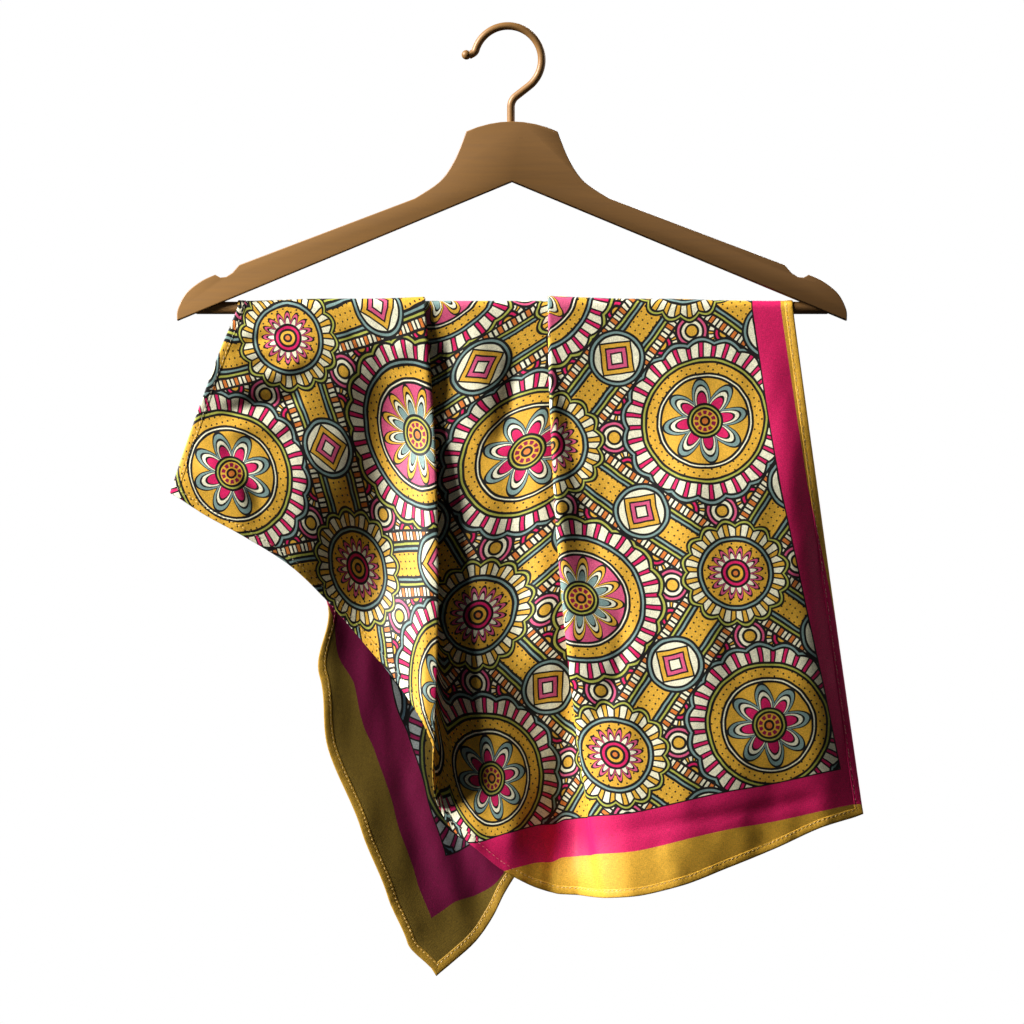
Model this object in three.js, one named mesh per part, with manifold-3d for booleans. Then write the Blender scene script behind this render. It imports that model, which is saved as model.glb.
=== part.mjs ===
import * as THREE from "three";
import { mergeVertices } from "three/addons/utils/BufferGeometryUtils.js";
import Module from "manifold-3d";

// A square silk scarf folded over the bar of a wooden coat hanger.
// Millimetres, +Z up, the front faces -Y, and the origin is the inside top of the hook.

const wasm = await Module();
wasm.setup();

// hanger board: one flat shape, mirrored about x = 0
const boardThickness = 13;
const crownTopZ = -60.7;
const crownCorner = { x: 30, z: -67.2 };
const shoulder = [
  { x: 37.5, z: -85.7 },
  { x: 47.4, z: -100.1 },
  { x: 63.8, z: -111.3 },
];
const notchInner = { x: 179.2, z: -155 };
const notchFloor = { x: 188.5, z: -167.5 };
const notchOuter = { x: 195, z: -161.4 };
const armEnd = [
  { x: 204.3, z: -165.7 },
  { x: 214.2, z: -173.7 },
  { x: 219.6, z: -184.1 },
];
const armTip = { x: 220, z: -191.4 };
const innerApexZ = -100.1;

// hanger bar: a dowel let into both arms
const barRadius = 4.1;
const barZ = -183;
const barHalfLength = 208;
const barSides = 24;
const seatGap = 0.3;

// hook: one round wire with a ball at its free end
const wireRadius = 2.55;
const hookArc = { x: -2.6, z: -19.7, radius: 22.2 };
const hookArcStart = 163;
const hookArcEnd = -52;
const hookBend = { x: 1.3, z: -44.7 };
const stemX = -0.7;
const stemTopZ = -49;
const stemBottomZ = -79;
const ball = { x: -30, z: -16.5, radius: 3.05 };
const wireSteps = 44;
const wireQuarterSides = 5;
const holeLead = 2; // how far the stem's hole is drilled past the crown's top

// cloth
const wall = 1;
const layerPitch = 1.5;
const hemWidth = 6;
const hemRaise = 0.6;
const seamGap = 0.3;
const slantGap = 0.8; // along the fall, where a hem runs aslant, for about seamGap square to it
const panelRows = { front: 12, over: 5, back: 13 };
const stepsPerLine = 2;

// One row for each line that runs down the cloth, from the left side hem to the right one.
// bar: x on the bar and how many layers lie under it. mid, hem: the front half way down and
// at its hem. back: the back at its hem. x, then how far out from the bar's plane, then z.
const lines = [
  { bar: [-180.3, 0], mid: [-203.3, 9], hem: [-223.7, 12, -304.8], back: [-50, 16, -623.9] },
  { bar: [-174.3, 0.05], mid: [-197.5, 10], hem: [-218.5, 14, -307.8], back: [-45.3, 17, -620] },
  { bar: [-164.5, 0.3], mid: [-183.3, 13], hem: [-202, 18, -318.6], back: [-37.5, 20, -613.6] },
  { bar: [-146.1, 1.2], mid: [-160.9, 17], hem: [-175.7, 22, -333.1], back: [-24, 24, -601.5] },
  { bar: [-126.3, 2], mid: [-135.6, 18], hem: [-144.8, 20, -352.8], back: [-13, 26, -586] },
  { bar: [-109.9, 2], mid: [-113.5, 14.5], hem: [-121.7, 13.5, -375.2], back: [-4.5, 24, -569] },
  { bar: [-91, 2], mid: [-90, 10.8], hem: [-96, 8.5, -404.8], back: [5, 26, -554.5] },
  { bar: [-75, 2], mid: [-70.5, 16], hem: [-72.4, 18.5, -433.1], back: [16.5, 34, -542.5] },
  { bar: [-58, 2], mid: [-54.6, 23.5], hem: [-56.6, 30, -458.1], back: [25, 43, -534.5] },
  { bar: [-57.2, 1.5], mid: [-48.7, 21.8], hem: [-51.3, 31, -472.6], back: [29, 44, -530.5] },
  { bar: [-58, 1], mid: [-53.5, 19.2], hem: [-51.3, 29.5, -478.5], back: [28, 37, -527.8] },
  { bar: [-92.1, 1], mid: [-59, 15], hem: [-51.7, 26, -487.1], back: [25, 25, -523.9] },
  { bar: [-125.5, 1], mid: [-66, 10.6], hem: [-51.3, 21, -495.6], back: [21.7, 15, -520] },
  { bar: [-126.3, 0.5], mid: [-68.5, 9], hem: [-50.7, 17, -501.5], back: [21.1, 12, -516.7] },
  { bar: [-125.5, 0], mid: [-66, 7.6], hem: [-49.4, 13.5, -506.8], back: [23.7, 9.5, -513.4] },
  { bar: [-92.1, 0], mid: [-58, 6.6], hem: [-46.7, 10, -513.4], back: [29, 8, -508.8] },
  { bar: [-57.2, 0], mid: [-47.4, 6.6], hem: [-39.5, 10, -525.9], back: [38.2, 7, -501.5] },
  { bar: [-17.8, 0], mid: [-19.1, 6.2], hem: [-25, 15, -537.1], back: [51.3, 8, -491] },
  { bar: [23.7, 0], mid: [11.8, 8.2], hem: [-5.3, 16.5, -552.9], back: [65.8, 8, -481.8] },
  { bar: [57.9, 0], mid: [34.2, 12.9], hem: [15.8, 10.5, -564], back: [76.3, 9, -475.2] },
  { bar: [92, 0], mid: [46.7, 12.8], hem: [26.3, 8, -567.3], back: [84.2, 11, -469.9] },
  { bar: [92.8, 0.5], mid: [50.7, 14], hem: [31.6, 8.5, -568.3], back: [88.2, 14, -466.7] },
  { bar: [92, 1], mid: [48, 15.3], hem: [36.8, 11, -568.6], back: [86.9, 20, -464] },
  { bar: [57.9, 1], mid: [42.8, 16.6], hem: [43.4, 15.5, -569], back: [82.9, 28, -462] },
  { bar: [24.5, 1], mid: [36.8, 18.4], hem: [51.3, 22, -569.3], back: [80.3, 38, -460.1] },
  { bar: [23.7, 1.5], mid: [32.9, 21.2], hem: [56.6, 27.5, -569.3], back: [80.3, 46, -458.1] },
  { bar: [24.5, 2], mid: [37.5, 24.5], hem: [62.5, 31, -569.1], back: [84.2, 48, -455.5] },
  { bar: [51.3, 2], mid: [60.5, 22.4], hem: [80.3, 37, -567.7], back: [94.8, 38, -448.9] },
  { bar: [77.6, 2], mid: [92.1, 24], hem: [110.5, 36, -560.8], back: [110.5, 30, -439.7] },
  { bar: [105.3, 1.9], mid: [122.4, 27], hem: [140.8, 30, -549.6], back: [126.3, 14, -434.4] },
  { bar: [132.9, 0.8], mid: [152, 26], hem: [171.1, 24, -537.7], back: [140.8, 12, -429.1] },
  { bar: [160.6, 0.2], mid: [182.9, 19], hem: [204, 20, -523.2], back: [157.9, 28, -422.6] },
  { bar: [178.6, 0.05], mid: [200.9, 12], hem: [224.7, 14, -517.3], back: [175.4, 26, -418.6] },
  { bar: [184.6, 0], mid: [206.9, 10], hem: [230.3, 12, -515.3], back: [181, 22, -417.3] },
];
const lastLine = lines.length - 1;

// How far the back's left hem swings from a straight line, from the bar (0) to its corner (1).
const backHemSway = [
  { at: 0, x: 0 },
  { at: 0.25, x: 4 },
  { at: 0.44, x: 1 },
  { at: 0.55, x: -18.4 },
  { at: 0.66, x: -27 },
  { at: 0.78, x: -21 },
  { at: 0.88, x: -16.6 },
  { at: 0.95, x: -12.6 },
  { at: 1, x: 0 },
];
const swayLines = 9;
const backSwing = 0.85; // under 1, the back stands off the bar's plane early in its fall

const lerp = THREE.MathUtils.lerp;

function solidOf(geometry) {
  const plain = geometry.clone();
  plain.deleteAttribute("normal");
  plain.deleteAttribute("uv");
  const merged = mergeVertices(plain, 1e-4);
  return new wasm.Manifold(
    new wasm.Mesh({
      numProp: 3,
      vertProperties: merged.attributes.position.array,
      triVerts: new Uint32Array(merged.index.array),
    }),
  );
}

function geometryOf(solid) {
  const mesh = solid.getMesh();
  const geometry = new THREE.BufferGeometry();
  geometry.setAttribute("position", new THREE.BufferAttribute(mesh.vertProperties, 3));
  geometry.setIndex(new THREE.BufferAttribute(mesh.triVerts, 1));
  geometry.computeVertexNormals();
  return geometry;
}

// A dowel along X.
function dowel(radius, from, to) {
  const geometry = new THREE.CylinderGeometry(radius, radius, to - from, barSides);
  geometry.rotateZ(Math.PI / 2);
  geometry.translate((from + to) / 2, 0, barZ);
  return geometry;
}

function boardOutline() {
  const half = new THREE.Path();
  half.moveTo(0, crownTopZ);
  half.quadraticCurveTo(crownCorner.x / 2, crownTopZ, crownCorner.x, crownCorner.z);
  half.splineThru(shoulder.map((p) => new THREE.Vector2(p.x, p.z)));
  half.lineTo(notchInner.x, notchInner.z);
  half.quadraticCurveTo(notchFloor.x, notchFloor.z, notchOuter.x, notchOuter.z);
  half.splineThru([...armEnd, armTip].map((p) => new THREE.Vector2(p.x, p.z)));
  half.lineTo(0, innerApexZ);
  const right = half.getPoints(4);
  const left = right
    .slice(1, -1)
    .reverse()
    .map((p) => new THREE.Vector2(-p.x, p.y));
  return new THREE.Shape([...right, ...left]);
}

function boardGeometry() {
  const board = new THREE.ExtrudeGeometry(boardOutline(), { depth: boardThickness, bevelEnabled: false });
  board.rotateX(Math.PI / 2);
  board.translate(0, boardThickness / 2, 0);
  const socket = solidOf(dowel(barRadius + seatGap, -barHalfLength - seatGap, barHalfLength + seatGap));
  const stemHole = new THREE.CylinderGeometry(
    wireRadius + seatGap,
    wireRadius + seatGap,
    crownTopZ - stemBottomZ + holeLead,
    16,
  );
  stemHole.rotateX(Math.PI / 2);
  stemHole.translate(stemX, 0, (crownTopZ + stemBottomZ + holeLead) / 2 - seatGap);
  return geometryOf(solidOf(board).subtract(socket).subtract(solidOf(stemHole)));
}

function hookGeometry() {
  const points = [new THREE.Vector3(ball.x, 0, ball.z)];
  const arcSteps = 14;
  for (let i = 0; i <= arcSteps; i += 1) {
    const angle = THREE.MathUtils.degToRad(lerp(hookArcStart, hookArcEnd, i / arcSteps));
    points.push(
      new THREE.Vector3(
        hookArc.x + hookArc.radius * Math.cos(angle),
        0,
        hookArc.z + hookArc.radius * Math.sin(angle),
      ),
    );
  }
  points.push(new THREE.Vector3(hookBend.x, 0, hookBend.z));
  points.push(new THREE.Vector3(stemX, 0, stemTopZ));
  points.push(new THREE.Vector3(stemX, 0, lerp(stemTopZ, stemBottomZ, 0.5)));
  points.push(new THREE.Vector3(stemX, 0, stemBottomZ));
  const path = new THREE.CatmullRomCurve3(points, false, "centripetal");
  const section = new THREE.Shape().absarc(0, 0, wireRadius, 0, 2 * Math.PI);
  const wire = new THREE.ExtrudeGeometry(section, {
    steps: wireSteps,
    curveSegments: wireQuarterSides,
    extrudePath: path,
  });
  const end = new THREE.SphereGeometry(ball.radius, 12, 8);
  end.translate(ball.x, 0, ball.z);
  return geometryOf(solidOf(wire).add(solidOf(end)));
}

// Distance from the bar's axis to the middle of the cloth, with so many layers under it.
const layerRadius = (layers) => barRadius + seatGap + wall / 2 + layers * layerPitch;

function through(start, middle, end, t) {
  return start * (1 - t) * (1 - 2 * t) + middle * 4 * t * (1 - t) + end * t * (2 * t - 1);
}

function sway(t) {
  const after = backHemSway.findIndex((row) => row.at >= t);
  if (after <= 0) return backHemSway[0].x;
  const before = backHemSway[after - 1];
  const share = (t - before.at) / (backHemSway[after].at - before.at);
  return lerp(before.x, backHemSway[after].x, share * share * (3 - 2 * share));
}

// Where one line of the cloth is on the front, t from the bar (0) to the hem (1).
function frontPoint(line, t) {
  return new THREE.Vector3(
    through(line.bar[0], line.mid[0], line.hem[0], t),
    -through(layerRadius(line.bar[1]), line.mid[1], line.hem[1], t),
    lerp(barZ, line.hem[2], t),
  );
}

// Where it is over the bar, from the front side (0) to the back side (pi).
function overPoint(line, angle) {
  const radius = layerRadius(line.bar[1]);
  return new THREE.Vector3(line.bar[0], -radius * Math.cos(angle), barZ + radius * Math.sin(angle));
}

// Where it is on the back, t from the bar (0) to the hem (1).
function backPoint(line, t) {
  const near = THREE.MathUtils.smoothstep(swayLines - lines.indexOf(line), 0, swayLines);
  return new THREE.Vector3(
    lerp(line.bar[0], line.back[0], t) + near * sway(t),
    lerp(layerRadius(line.bar[1]), line.back[1], t ** backSwing),
    lerp(barZ, line.back[2], t),
  );
}

const frontDrop = (line) => barZ - line.hem[2];
const backDrop = (line) => barZ - line.back[2];

// Slope of a curve at one of its knots: level where the values turn, so that it never overshoots.
function slope(values, k) {
  if (k === 0) return values[1] - values[0];
  if (k === values.length - 1) return values[k] - values[k - 1];
  const before = values[k] - values[k - 1];
  const after = values[k + 1] - values[k];
  return before * after > 0 ? (2 * before * after) / (before + after) : 0;
}

function smooth(values, place) {
  const k = Math.min(Math.floor(place), values.length - 2);
  const t = place - k;
  const from = values[k] * (1 + 2 * t) * (1 - t) ** 2 + slope(values, k) * t * (1 - t) ** 2;
  const to = values[k + 1] * t * t * (3 - 2 * t) - slope(values, k + 1) * t * t * (1 - t);
  return from + to;
}

// One level across the cloth: a smooth curve through the same place on every line.
function level(pointOn, place, from, to, steps) {
  const knots = lines.map((line) => pointOn(line, place(line)));
  const [x, y, z] = ["x", "y", "z"].map((axis) => knots.map((knot) => knot[axis]));
  const points = [];
  for (let i = 0; i <= steps; i += 1) {
    const at = lerp(from, to, i / steps);
    points.push(new THREE.Vector3(smooth(x, at), smooth(y, at), smooth(z, at)));
  }
  return points;
}

// Levels of a panel, from the bar's share 0 to the inner edge of its bottom hem.
const panelPlace = (drop, share) => (line) => share * (1 - hemWidth / drop(line));

// Levels of a bottom hem, from its inner edge to the cloth's edge.
const hemPlace = (drop, share) => (line) => 1 - (hemWidth / drop(line)) * (1 - share);

function frontLevels(from, to, steps) {
  const levels = [];
  for (let i = panelRows.front; i >= 0; i -= 1) {
    levels.push(level(frontPoint, panelPlace(frontDrop, i / panelRows.front), from, to, steps));
  }
  return levels;
}

function overLevels(from, to, steps) {
  const edge = seamGap / layerRadius(0);
  const levels = [];
  for (let i = 0; i <= panelRows.over; i += 1) {
    levels.push(level(overPoint, () => lerp(edge, Math.PI - edge, i / panelRows.over), from, to, steps));
  }
  return levels;
}

function backLevels(from, to, steps) {
  const levels = [];
  for (let i = 0; i <= panelRows.back; i += 1) {
    levels.push(level(backPoint, panelPlace(backDrop, i / panelRows.back), from, to, steps));
  }
  return levels;
}

// A closed wall on a grid of points: the outer face is raised, the inner one is even.
function wallGeometry(levels, raise) {
  const rows = levels.length;
  const columns = levels[0].length;
  const positions = [];
  const normal = new THREE.Vector3();
  const across = new THREE.Vector3();
  const along = new THREE.Vector3();
  for (const [outward, distance] of [[1, wall / 2 + raise], [-1, wall / 2]]) {
    for (let i = 0; i < rows; i += 1) {
      for (let j = 0; j < columns; j += 1) {
        across.subVectors(levels[i][Math.min(j + 1, columns - 1)], levels[i][Math.max(j - 1, 0)]);
        along.subVectors(levels[Math.min(i + 1, rows - 1)][j], levels[Math.max(i - 1, 0)][j]);
        normal.crossVectors(across, along).normalize();
        positions.push(...levels[i][j].clone().addScaledVector(normal, outward * distance).toArray());
      }
    }
  }
  const outer = (i, j) => i * columns + j;
  const inner = (i, j) => rows * columns + i * columns + j;
  const index = [];
  const quad = (a, b, c, d) => index.push(a, b, c, a, c, d);
  for (let i = 0; i < rows - 1; i += 1) {
    for (let j = 0; j < columns - 1; j += 1) {
      quad(outer(i, j), outer(i, j + 1), outer(i + 1, j + 1), outer(i + 1, j));
      quad(inner(i, j), inner(i + 1, j), inner(i + 1, j + 1), inner(i, j + 1));
    }
    quad(outer(i, 0), outer(i + 1, 0), inner(i + 1, 0), inner(i, 0));
    const last = columns - 1;
    quad(outer(i + 1, last), outer(i, last), inner(i, last), inner(i + 1, last));
  }
  for (let j = 0; j < columns - 1; j += 1) {
    quad(outer(0, j + 1), outer(0, j), inner(0, j), inner(0, j + 1));
    const top = rows - 1;
    quad(outer(top, j), outer(top, j + 1), inner(top, j + 1), inner(top, j));
  }
  const geometry = new THREE.BufferGeometry();
  geometry.setAttribute("position", new THREE.Float32BufferAttribute(positions, 3));
  geometry.setIndex(index);
  geometry.computeVertexNormals();
  return geometry;
}

const panelSteps = stepsPerLine * (lastLine - 2);
const panelGeometry = (levelsOf) => wallGeometry(levelsOf(1, lastLine - 1, panelSteps), 0);

// A side hem runs from the front's corner over the bar to the back's corner.
function sideHemGeometry(from, to) {
  const levels = [
    ...frontLevels(from, to, 1),
    ...overLevels(from, to, 1),
    ...backLevels(from, to, 1),
  ];
  return wallGeometry(levels, hemRaise);
}

function bottomHemGeometry(pointOn, drop, upward) {
  const levels = [slantGap / hemWidth, 1].map((share) =>
    level(pointOn, hemPlace(drop, share), 0, lastLine, stepsPerLine * lastLine),
  );
  return wallGeometry(upward ? levels.reverse() : levels, hemRaise);
}

const silk = (color) => new THREE.MeshStandardMaterial({ color, roughness: 0.45, metalness: 0 });
const printedSilk = silk(0xd9a53a);
const hemSilk = silk(0xe5b52a);
const wood = new THREE.MeshStandardMaterial({ color: 0x8a6234, roughness: 0.5, metalness: 0 });
const paintedMetal = new THREE.MeshStandardMaterial({ color: 0x93683a, roughness: 0.4, metalness: 0.3 });

const group = new THREE.Group();

function add(name, geometry, material) {
  const mesh = new THREE.Mesh(geometry, material);
  mesh.name = name;
  group.add(mesh);
}

const hemSide = 1 - seamGap / hemWidth;

add("hanger_body", boardGeometry(), wood);
add("hanger_bar", dowel(barRadius, -barHalfLength, barHalfLength), wood);
add("hanger_hook", hookGeometry(), paintedMetal);
add("scarf_front", panelGeometry(frontLevels), printedSilk);
add("scarf_over_bar", panelGeometry(overLevels), printedSilk);
add("scarf_back", panelGeometry(backLevels), printedSilk);
add("hem_left", sideHemGeometry(0, hemSide), hemSilk);
add("hem_right", sideHemGeometry(lastLine - hemSide, lastLine), hemSilk);
add("hem_front", bottomHemGeometry(frontPoint, frontDrop, true), hemSilk);
add("hem_back", bottomHemGeometry(backPoint, backDrop, false), hemSilk);

export default group;
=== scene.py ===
import math
import random

import bpy
import numpy as np
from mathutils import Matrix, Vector, noise


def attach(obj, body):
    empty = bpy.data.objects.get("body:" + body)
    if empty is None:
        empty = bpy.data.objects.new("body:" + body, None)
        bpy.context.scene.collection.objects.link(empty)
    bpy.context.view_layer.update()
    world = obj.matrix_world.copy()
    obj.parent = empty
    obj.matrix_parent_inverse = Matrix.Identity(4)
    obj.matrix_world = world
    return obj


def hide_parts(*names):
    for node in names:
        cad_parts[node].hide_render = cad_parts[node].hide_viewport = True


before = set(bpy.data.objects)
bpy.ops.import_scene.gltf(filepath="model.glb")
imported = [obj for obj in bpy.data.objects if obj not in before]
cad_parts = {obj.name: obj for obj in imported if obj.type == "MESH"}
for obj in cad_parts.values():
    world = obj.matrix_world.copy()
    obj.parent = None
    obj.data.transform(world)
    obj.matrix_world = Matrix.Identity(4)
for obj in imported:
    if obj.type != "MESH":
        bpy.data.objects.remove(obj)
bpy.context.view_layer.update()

bpy.ops.object.select_all(action="DESELECT")
mm = 0.001


def finishPiece(piece, slot, *nodes):
    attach(piece, "root")
    if nodes:
        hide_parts(*nodes)


def pick(piece):
    bpy.ops.object.select_all(action="DESELECT")
    piece.select_set(True)
    bpy.context.view_layer.objects.active = piece


def newObject(name, mesh):
    piece = bpy.data.objects.new(name, mesh)
    bpy.context.scene.collection.objects.link(piece)
    return piece


def editMode(piece, way):
    pick(piece)
    bpy.ops.object.mode_set(mode="EDIT")
    bpy.ops.mesh.select_mode(type=way)


def editAll(piece, way):
    editMode(piece, way)
    bpy.ops.mesh.select_all(action="SELECT")


def objectMode():
    bpy.ops.object.mode_set(mode="OBJECT")


def applyAll(piece):
    pick(piece)
    bpy.ops.object.transform_apply(location=True, rotation=True, scale=True)
    for modifier in list(piece.modifiers):
        bpy.ops.object.modifier_apply(modifier=modifier.name)


def smoothByAngle(piece, degrees):
    pick(piece)
    bpy.ops.object.shade_smooth_by_angle(angle=math.radians(degrees))


# Node helpers

def put(tree, value, socket):
    if isinstance(value, bpy.types.NodeSocket):
        tree.links.new(value, socket)
    else:
        socket.default_value = value


def calc(tree, operation, *values):
    node = tree.nodes.new("ShaderNodeMath")
    node.operation = operation
    for value, socket in zip(values, node.inputs):
        put(tree, value, socket)
    return node.outputs[0]


def minus(tree, first, second):
    return calc(tree, "SUBTRACT", first, second)


def times(tree, first, second):
    return calc(tree, "MULTIPLY", first, second)


def absolute(tree, value):
    return calc(tree, "ABSOLUTE", value)


def ramp(tree, value, low, high, first=0.0, last=1.0):
    node = tree.nodes.new("ShaderNodeMapRange")
    for given, name in ((value, "Value"), (low, "From Min"), (high, "From Max"),
                        (first, "To Min"), (last, "To Max")):
        put(tree, given, node.inputs[name])
    return node.outputs[0]


def paint(tree, under, over, mask):
    node = tree.nodes.new("ShaderNodeMix")
    node.data_type = "RGBA"
    put(tree, mask, node.inputs[0])
    for tone, socket in ((under, node.inputs[6]), (over, node.inputs[7])):
        put(tree, dye[tone] if isinstance(tone, str) else tone, socket)  # a dye by its name
    return node.outputs[2]


def noiseNode(tree, place, scale, detail=2.0, rough=0.5):
    node = tree.nodes.new("ShaderNodeTexNoise")
    put(tree, place, node.inputs["Vector"])
    node.inputs["Scale"].default_value = scale
    node.inputs["Detail"].default_value = detail
    node.inputs["Roughness"].default_value = rough
    return node


def vectorCalc(tree, operation, first, second):
    node = tree.nodes.new("ShaderNodeVectorMath")
    node.operation = operation
    put(tree, first, node.inputs[0])
    put(tree, second, node.inputs["Scale"] if operation == "SCALE" else node.inputs[1])
    return node.outputs[0]


def bumpNode(tree, height, strength, distance):
    node = tree.nodes.new("ShaderNodeBump")
    put(tree, height, node.inputs["Height"])
    node.inputs["Strength"].default_value = strength
    node.inputs["Distance"].default_value = distance
    return node.outputs["Normal"]


def newGroup(name, inputs, outputs):
    tree = bpy.data.node_groups.new(name, "ShaderNodeTree")
    for title, kind in inputs:
        tree.interface.new_socket(title, in_out="INPUT", socket_type=kind)
    for title, kind in outputs:
        tree.interface.new_socket(title, in_out="OUTPUT", socket_type=kind)
    return tree, tree.nodes.new("NodeGroupInput"), tree.nodes.new("NodeGroupOutput")


def useGroup(tree, group, **values):
    node = tree.nodes.new("ShaderNodeGroup")
    node.node_tree = group
    for name, value in values.items():
        put(tree, value, node.inputs[name])
    return node


def newMaterial(name):
    material = bpy.data.materials.new(name)
    material.use_nodes = True
    tree = material.node_tree
    return material, tree, tree.nodes["Principled BSDF"]


def objectPlace(tree):
    return tree.nodes.new("ShaderNodeTexCoord").outputs["Object"]


def separate(tree, place):
    node = tree.nodes.new("ShaderNodeSeparateXYZ")
    put(tree, place, node.inputs[0])
    return node.outputs


def colour(red, green, blue):
    parts = [part / 255 for part in (red, green, blue)]
    return tuple(((part + 0.055) / 1.055) ** 2.4 if part > 0.04 else part / 12.92
                 for part in parts) + (1.0,)


# The camera, at the photograph's viewing angle

view = {
    "distance": 3743,
    "height": -317.3,
    "lens": 200,
    "sensor": 36,
}


def addCamera():
    bpy.ops.object.camera_add(location=(0, -view["distance"] * mm, view["height"] * mm),
                              rotation=(math.pi / 2, 0, 0))
    camera = bpy.context.object
    camera.data.lens = view["lens"]
    camera.data.sensor_width = view["sensor"]
    bpy.context.scene.camera = camera
    print("camera placed")


addCamera()


# The scarf: one square of silk, 600 mm a side, hung askew over the bar in two deep pleats

drape = {
    "side": 600,
    "barZ": -183.0,
    "barRadius": 4.1,
    "seat": 0.35,         # from the bar to the middle of the first layer
    "layerPitch": 0.75,
    "thickness": 0.45,
    "backSwing": 0.85,    # under 1, the back stands off the bar's plane early in its fall
    "swayLines": 9,
    "columnStep": 4.4,
    "fewestSteps": 3,     # between two lines
    "frontRows": 112,
    "overRows": 9,
    "backRows": 92,
    "clearBar": 30.0,     # creases fade out over this much of the fall next to the bar
    "pressed": 0.5,       # how far the pleats are pressed together below the bar
    "pressedTo": 62.0,    # down to this much of the fall
    "pressFade": 60.0,    # and free of it this much lower
}

# One row for each line that runs down the cloth, in mm, from the left side hem to the right.
# On the bar: x, layers under it. Half way down the front: x, how far out. At the front's hem:
# x, out, z. At the back's hem: x, out, z.
clothLines = np.array([
    (-180.3, 0, -203.3, 9, -223.7, 12, -304.8, -50, 16, -623.9),
    (-174.3, 0.05, -197.5, 10, -218.5, 14, -307.8, -45.3, 17, -620),
    (-164.5, 0.3, -183.3, 13, -202, 18, -318.6, -37.5, 20, -613.6),
    (-146.1, 1.2, -160.9, 17, -175.7, 22, -333.1, -24, 24, -601.5),
    (-126.3, 2, -135.6, 18, -144.8, 20, -352.8, -13, 26, -586),
    (-109.9, 2, -113.5, 14.5, -121.7, 13.5, -375.2, -4.5, 24, -569),
    (-91, 2, -90, 10.8, -96, 8.5, -404.8, 5, 26, -554.5),
    (-75, 2, -70.5, 16, -72.4, 18.5, -433.1, 16.5, 34, -542.5),
    (-58, 2, -54.6, 23.5, -56.6, 30, -458.1, 25, 43, -534.5),
    (-57.2, 1.5, -48.7, 21.8, -51.3, 31, -472.6, 29, 44, -530.5),
    (-58, 1, -53.5, 19.2, -51.3, 29.5, -478.5, 28, 37, -527.8),
    (-92.1, 1, -59, 15, -51.7, 26, -487.1, 25, 25, -523.9),
    (-125.5, 1, -66, 10.6, -51.3, 21, -495.6, 21.7, 15, -520),
    (-126.3, 0.5, -68.5, 9, -50.7, 17, -501.5, 21.1, 12, -516.7),
    (-125.5, 0, -66, 7.6, -49.4, 13.5, -506.8, 23.7, 9.5, -513.4),
    (-92.1, 0, -58, 6.6, -46.7, 10, -513.4, 29, 8, -508.8),
    (-57.2, 0, -47.4, 6.6, -39.5, 10, -525.9, 38.2, 7, -501.5),
    (-17.8, 0, -19.1, 6.2, -25, 15, -537.1, 51.3, 8, -491),
    (23.7, 0, 11.8, 8.2, -5.3, 16.5, -552.9, 65.8, 8, -481.8),
    (57.9, 0, 34.2, 12.9, 15.8, 10.5, -564, 76.3, 9, -475.2),
    (92, 0, 46.7, 12.8, 26.3, 8, -567.3, 84.2, 11, -469.9),
    (92.8, 0.5, 50.7, 14, 31.6, 8.5, -568.3, 88.2, 14, -466.7),
    (92, 1, 48, 15.3, 43, 11, -568.6, 86.9, 20, -464),
    (57.9, 1, 42.8, 16.6, 48.6, 15.5, -569, 82.9, 28, -462),
    (24.5, 1, 36.8, 18.4, 54.8, 22, -569.3, 80.3, 38, -460.1),
    (23.7, 1.5, 32.9, 21.2, 59, 27.5, -569.3, 80.3, 46, -458.1),
    (24.5, 2, 37.5, 24.5, 62.5, 31, -569.1, 84.2, 48, -455.5),
    (51.3, 2, 60.5, 22.4, 80.3, 37, -567.7, 94.8, 38, -448.9),
    (77.6, 2, 92.1, 24, 110.5, 36, -560.8, 110.5, 30, -439.7),
    (105.3, 1.9, 122.4, 27, 140.8, 30, -549.6, 126.3, 14, -434.4),
    (132.9, 0.8, 152, 26, 171.1, 24, -537.7, 140.8, 12, -429.1),
    (160.6, 0.2, 182.9, 19, 204, 20, -523.2, 157.9, 28, -422.6),
    (178.6, 0.05, 200.9, 12, 224.7, 14, -517.3, 175.4, 26, -418.6),
    (184.6, 0, 206.9, 10, 230.3, 12, -515.3, 181, 22, -417.3),
])
barX, layersUnder, midX, midOut, hemX, hemOut, hemZ, backX, backOut, backZ = clothLines.T
lineCount = len(clothLines)
lineNumbers = np.arange(lineCount)
barLift = {7: 0.5, 8: 1.3, 9: 1.0, 25: 1.2, 26: 1.8, 27: 0.7}  # folds that stand up off the bar
layerRadius = drape["barRadius"] + drape["seat"] + layersUnder * drape["layerPitch"]
layerRadius += [barLift.get(number, 0) for number in range(lineCount)]
frontDrop = drape["barZ"] - hemZ
backDrop = drape["barZ"] - backZ
pleatInside = (9, 16)  # between these lines the cloth is folded away in the left pleat

# How far the back's left edge swings from a straight line: share of its fall, then mm.
backSway = np.array([(0, 0), (0.25, 4), (0.44, 1), (0.55, -18.4), (0.66, -27),
                     (0.78, -21), (0.88, -16.6), (0.95, -12.6), (1, 0)])


def easeIn(share):
    share = np.clip(share, 0, 1)
    return share * share * (3 - 2 * share)


def sway(t):
    last = np.clip(np.searchsorted(backSway[:, 0], t), 1, len(backSway) - 1)
    before, after = backSway[last - 1], backSway[last]
    share = (t - before[..., 0]) / (after[..., 0] - before[..., 0])
    return before[..., 1] + (after[..., 1] - before[..., 1]) * easeIn(share)


def throughThree(start, middle, end, t):
    return start * (1 - t) * (1 - 2 * t) + middle * 4 * t * (1 - t) + end * t * (2 * t - 1)


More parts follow.
